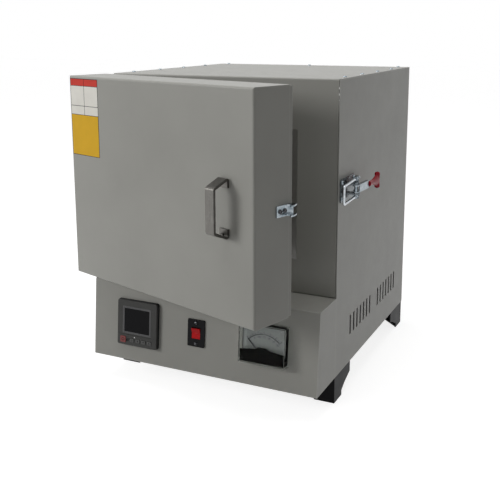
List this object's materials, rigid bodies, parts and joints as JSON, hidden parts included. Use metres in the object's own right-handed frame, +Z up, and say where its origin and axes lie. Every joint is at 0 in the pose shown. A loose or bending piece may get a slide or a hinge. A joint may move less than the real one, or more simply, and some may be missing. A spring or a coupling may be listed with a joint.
{
  "type": "muffle furnace",
  "caption": "Bench muffle furnace with a side-hung insulated door, toggle latch, sloping control panel and fibre-lined chamber.",
  "frame": {"origin": "on the floor plane under the middle of the casing, between the four feet", "axes": "+Z is up, the door faces -Y, and +X is the latch side, on the right as seen from the front"},
  "size_m": [0.5789, 0.8122, 0.6512],
  "materials": {
    "casing_paint": "light grey semi-gloss powder coat",
    "foot_paint": "black powder coat",
    "zinc": "bright zinc plate",
    "stainless": "brushed stainless steel",
    "bare_steel": "mill finish sheet",
    "fibre": "matt vacuum formed ceramic fibre board",
    "seal_fibre": "woven ceramic fibre",
    "hearth": "matt silicon carbide and clay",
    "element_wire": "dark oxidised resistance wire",
    "white_ceramic": "unglazed alumina",
    "cast_alloy": "sand cast",
    "sink_alloy": "extruded, matt",
    "black_plastic": "moulded, fine texture",
    "dark_plastic": "dark grey moulding",
    "key_red": "moulded, reddish",
    "key_grey": "moulded, light grey",
    "tinted_window": "smoked and polished",
    "rocker_red": "translucent red, glossy",
    "clear_cover": "clear acrylic",
    "dial_white": "matt white enamel with a scale and plain numbers",
    "needle_black": "matt black",
    "grip_red": "dipped vinyl"
  },
  "bodies": {
    "furnace": {"right_side_panel": "casing_paint", "left_side_panel": "casing_paint", "front_panel": "casing_paint", "mouth_frame": "casing_paint", "top_cover": "casing_paint", "back_cover": "casing_paint", "floor_pan": "bare_steel", "deck_plate": "bare_steel", "control_housing": "casing_paint", "feet": "foot_paint", "casing_screws": "zinc", "cable_gland": "zinc", "liner": "bare_steel", "liner_rails": "bare_steel", "mouth_collar": "fibre", "roof_board": "fibre", "floor_board": "fibre", "side_boards": "fibre", "rear_board": "fibre", "hearth_plate": "hearth", "heating_elements": "element_wire", "terminal_bushings": "white_ceramic", "thermocouple": "white_ceramic", "thermocouple_head": "cast_alloy", "heat_sink": "sink_alloy", "solid_state_relay": "black_plastic", "terminal_block": "black_plastic", "hinge_brackets": "zinc", "hinge_pins": "zinc", "latch_base": "zinc", "latch_pivot_pin": "zinc", "controller_case": "dark_plastic", "controller_window": "tinted_window", "switch_body": "black_plastic", "meter_cover": "clear_cover", "meter_base": "black_plastic", "meter_dial": "dial_white"},
    "door": {"door_shell": "casing_paint", "door_inner_pan": "casing_paint", "door_insulation": "fibre", "door_plug": "fibre", "door_seal": "seal_fibre", "door_handle": "stainless", "latch_strike": "zinc", "strike_bolts": "black_plastic", "door_screws": "zinc", "hinge_leaves": "zinc"},
    "lever": {"latch_lever": "zinc", "latch_grip": "grip_red"},
    "link": {"latch_link_pin": "zinc"},
    "bow": {"latch_swivels": "zinc", "latch_u_bolt": "zinc", "latch_nuts": "zinc"},
    "rocker": {"switch_rocker": "rocker_red"},
    "needle": {"meter_needle": "needle_black"},
    "power_button": {"power_key": "key_red"},
    "set_button": {"set_key": "key_grey"},
    "shift_button": {"shift_key": "key_grey"},
    "down_button": {"down_key": "key_grey"},
    "up_button": {"up_key": "key_grey"}
  },
  "joints": [
    {"name": "door_hinge", "type": "hinge", "parent": "furnace", "child": "door", "pos_m": [-0.267, -0.2445, 0.421], "axis": [0, 0, -1], "range_deg": [-17.2, 107.8]},
    {"name": "latch_lever_hinge", "type": "hinge", "parent": "furnace", "child": "lever", "pos_m": [0.274, -0.2045, 0.434], "axis": [0, 0, -1], "range_deg": [0, 125]},
    {"name": "latch_link_turn", "type": "hinge", "parent": "lever", "child": "link", "pos_m": [0.27, -0.18798, 0.434], "axis": [0, 0, -1], "range_deg": [-125, 0]},
    {"name": "latch_bow_swing", "type": "hinge", "parent": "link", "child": "bow", "pos_m": [0.27, -0.18798, 0.434], "axis": [0, 0, 1], "range_deg": [-6.39, 60]},
    {"name": "rocker_tilt", "type": "hinge", "parent": "furnace", "child": "rocker", "pos_m": [-0.007, -0.34636, 0.1402], "axis": [-1, 0, 0], "range_deg": [0, 18]},
    {"name": "needle_turn", "type": "hinge", "parent": "furnace", "child": "needle", "pos_m": [0.146, -0.35864, 0.11966], "axis": [0, 0.9964, -0.0845], "range_deg": [0, 90], "stiffness_Nm_per_rad": 0.002},
    {"name": "power_press", "type": "slide", "parent": "furnace", "child": "power_button", "axis": [0, 0.9964, -0.0845], "range_m": [0, 0.0012], "stiffness_N_per_m": 150},
    {"name": "set_press", "type": "slide", "parent": "furnace", "child": "set_button", "axis": [0, 0.9964, -0.0845], "range_m": [0, 0.0012], "stiffness_N_per_m": 150},
    {"name": "shift_press", "type": "slide", "parent": "furnace", "child": "shift_button", "axis": [0, 0.9964, -0.0845], "range_m": [0, 0.0012], "stiffness_N_per_m": 150},
    {"name": "down_press", "type": "slide", "parent": "furnace", "child": "down_button", "axis": [0, 0.9964, -0.0845], "range_m": [0, 0.0012], "stiffness_N_per_m": 150},
    {"name": "up_press", "type": "slide", "parent": "furnace", "child": "up_button", "axis": [0, 0.9964, -0.0845], "range_m": [0, 0.0012], "stiffness_N_per_m": 150}
  ],
  "couplings": [
    {"joint": "latch_link_turn", "follows": "latch_lever_hinge", "ratio": -1}
  ]
}
